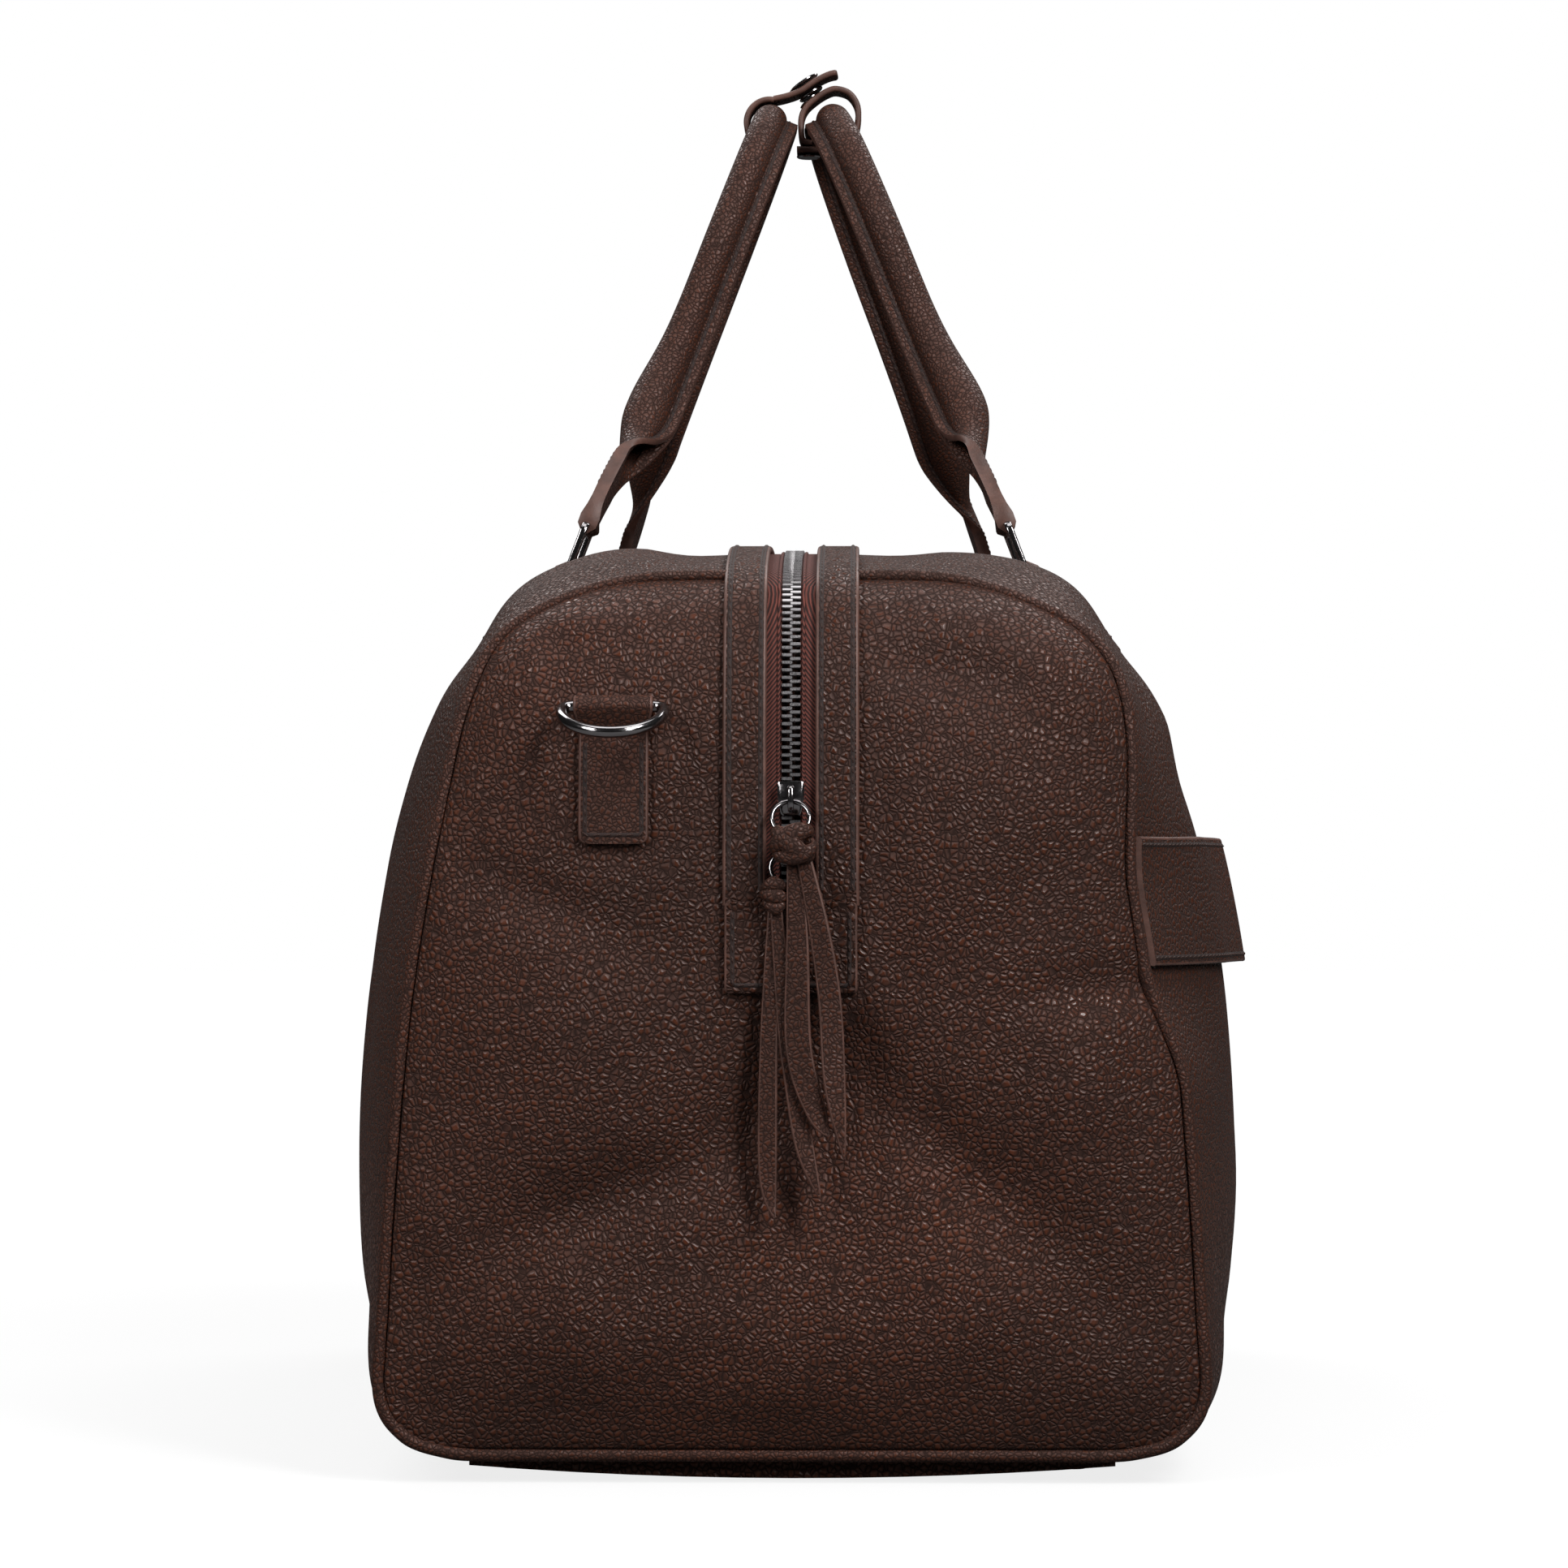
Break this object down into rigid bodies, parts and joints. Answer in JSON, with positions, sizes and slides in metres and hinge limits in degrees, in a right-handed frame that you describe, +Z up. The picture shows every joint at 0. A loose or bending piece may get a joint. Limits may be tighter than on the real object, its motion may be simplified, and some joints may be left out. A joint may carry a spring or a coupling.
{
  "type": "weekender bag",
  "caption": "Soft leather holdall with an arched zip top, rolled handles joined by a snap keeper, tasselled zip pulls, strap rings and a luggage band.",
  "frame": {"origin": "on the floor, under the middle of the bag's bounding box", "axes": "+X along the bag, towards the end with the zip pulls; +Y across it, towards the back with the luggage band; +Z up"},
  "size_m": [0.5574, 0.3056, 0.4977],
  "materials": {
    "leather": "pebbled grain, half matt",
    "edge": "smooth, half matt",
    "metal": "polished gunmetal",
    "tape": "woven",
    "lining": "woven cotton",
    "board": "plain"
  },
  "bodies": {
    "bag": {"back_panel": "leather", "base_panel": "leather", "chape_back_left": "leather", "chape_back_right": "leather", "chape_front_left": "leather", "chape_front_right": "leather", "dring_tab_left": "leather", "dring_tab_right": "leather", "end_panel_left": "leather", "end_panel_right": "leather", "front_panel": "leather", "luggage_band": "leather", "zip_end_patch_left": "leather", "zip_end_patch_right": "leather", "zip_trim_back": "leather", "zip_trim_front": "leather", "piping_left": "edge", "piping_right": "edge", "foot_back_left": "metal", "foot_back_right": "metal", "foot_front_left": "metal", "foot_front_right": "metal", "zip_teeth_back": "metal", "zip_teeth_front": "metal", "zip_tape_back": "tape", "zip_tape_front": "tape", "back_lining": "lining", "base_lining": "lining", "end_lining_left": "lining", "end_lining_right": "lining", "front_lining": "lining", "base_board": "board"},
    "front_rings": {"handle_ring_front_right": "metal", "handle_ring_front_left": "metal"},
    "front_handle": {"handle_grip_front": "leather", "handle_core_front": "lining", "handle_end_front_right": "leather", "handle_end_front_left": "leather", "keeper_front_wrap": "leather"},
    "keeper_flap": {"keeper_tail": "leather", "snap_cap": "metal", "snap_socket": "metal"},
    "back_rings": {"handle_ring_back_right": "metal", "handle_ring_back_left": "metal"},
    "back_handle": {"handle_grip_back": "leather", "handle_core_back": "lining", "handle_end_back_right": "leather", "handle_end_back_left": "leather", "keeper_back_loop": "leather", "snap_stud": "metal", "keeper_rivet": "metal"},
    "upper_slider": {"slider_upper": "metal"},
    "lower_slider": {"slider_lower": "metal"},
    "upper_pull": {"pull_ring_upper": "metal", "tassel_upper": "leather"},
    "lower_pull": {"pull_ring_lower": "metal", "tassel_lower": "leather"},
    "right_dring": {"dring_right": "metal"},
    "left_dring": {"dring_left": "metal"}
  },
  "joints": [
    {"name": "front_ring_swing", "type": "hinge", "parent": "bag", "child": "front_rings", "pos_m": [0, -0.0795, 0.30164], "axis": [1, 0, 0], "range_deg": [0, 102]},
    {"name": "front_handle_swing", "type": "hinge", "parent": "front_rings", "child": "front_handle", "pos_m": [0, -0.07341, 0.31751], "axis": [1, 0, 0], "range_deg": [0, 54.4]},
    {"name": "keeper_flap_lift", "type": "hinge", "parent": "front_handle", "child": "keeper_flap", "pos_m": [0, -0.0098, 0.487], "axis": [1, 0, 0], "range_deg": [0, 80]},
    {"name": "back_ring_swing", "type": "hinge", "parent": "bag", "child": "back_rings", "pos_m": [0, 0.0795, 0.30164], "axis": [-1, 0, 0], "range_deg": [0, 102]},
    {"name": "back_handle_swing", "type": "hinge", "parent": "back_rings", "child": "back_handle", "pos_m": [0, 0.07341, 0.31751], "axis": [-1, 0, 0], "range_deg": [0, 54.4]},
    {"name": "upper_slider_travel", "type": "slide", "parent": "bag", "child": "upper_slider", "axis": [-0.04, 0, 0.9992], "range_m": [0, 0.025]},
    {"name": "lower_slider_travel", "type": "slide", "parent": "bag", "child": "lower_slider", "axis": [-0.04, 0, 0.9992], "range_m": [0, 0.025]},
    {"name": "upper_pull_swing", "type": "hinge", "parent": "upper_slider", "child": "upper_pull", "pos_m": [0.261, 0, 0.218], "axis": [0, -1, 0], "range_deg": [0, 100]},
    {"name": "lower_pull_swing", "type": "hinge", "parent": "lower_slider", "child": "lower_pull", "pos_m": [0.2613, 0, 0.2017], "axis": [0, -1, 0], "range_deg": [0, 100]},
    {"name": "right_dring_swing", "type": "hinge", "parent": "bag", "child": "right_dring", "pos_m": [0.25784, -0.0566, 0.2484], "axis": [0, -1, 0], "range_deg": [0, 100]},
    {"name": "left_dring_swing", "type": "hinge", "parent": "bag", "child": "left_dring", "pos_m": [-0.25784, 0.0566, 0.2484], "axis": [0, 1, 0], "range_deg": [0, 100]}
  ],
  "couplings": [
    {"joint": "front_handle_swing", "follows": "front_ring_swing", "ratio": 0.5333},
    {"joint": "back_handle_swing", "follows": "back_ring_swing", "ratio": 0.5333},
    {"joint": "lower_slider_travel", "follows": "upper_slider_travel", "ratio": 1},
    {"joint": "lower_pull_swing", "follows": "upper_pull_swing", "ratio": 1}
  ]
}
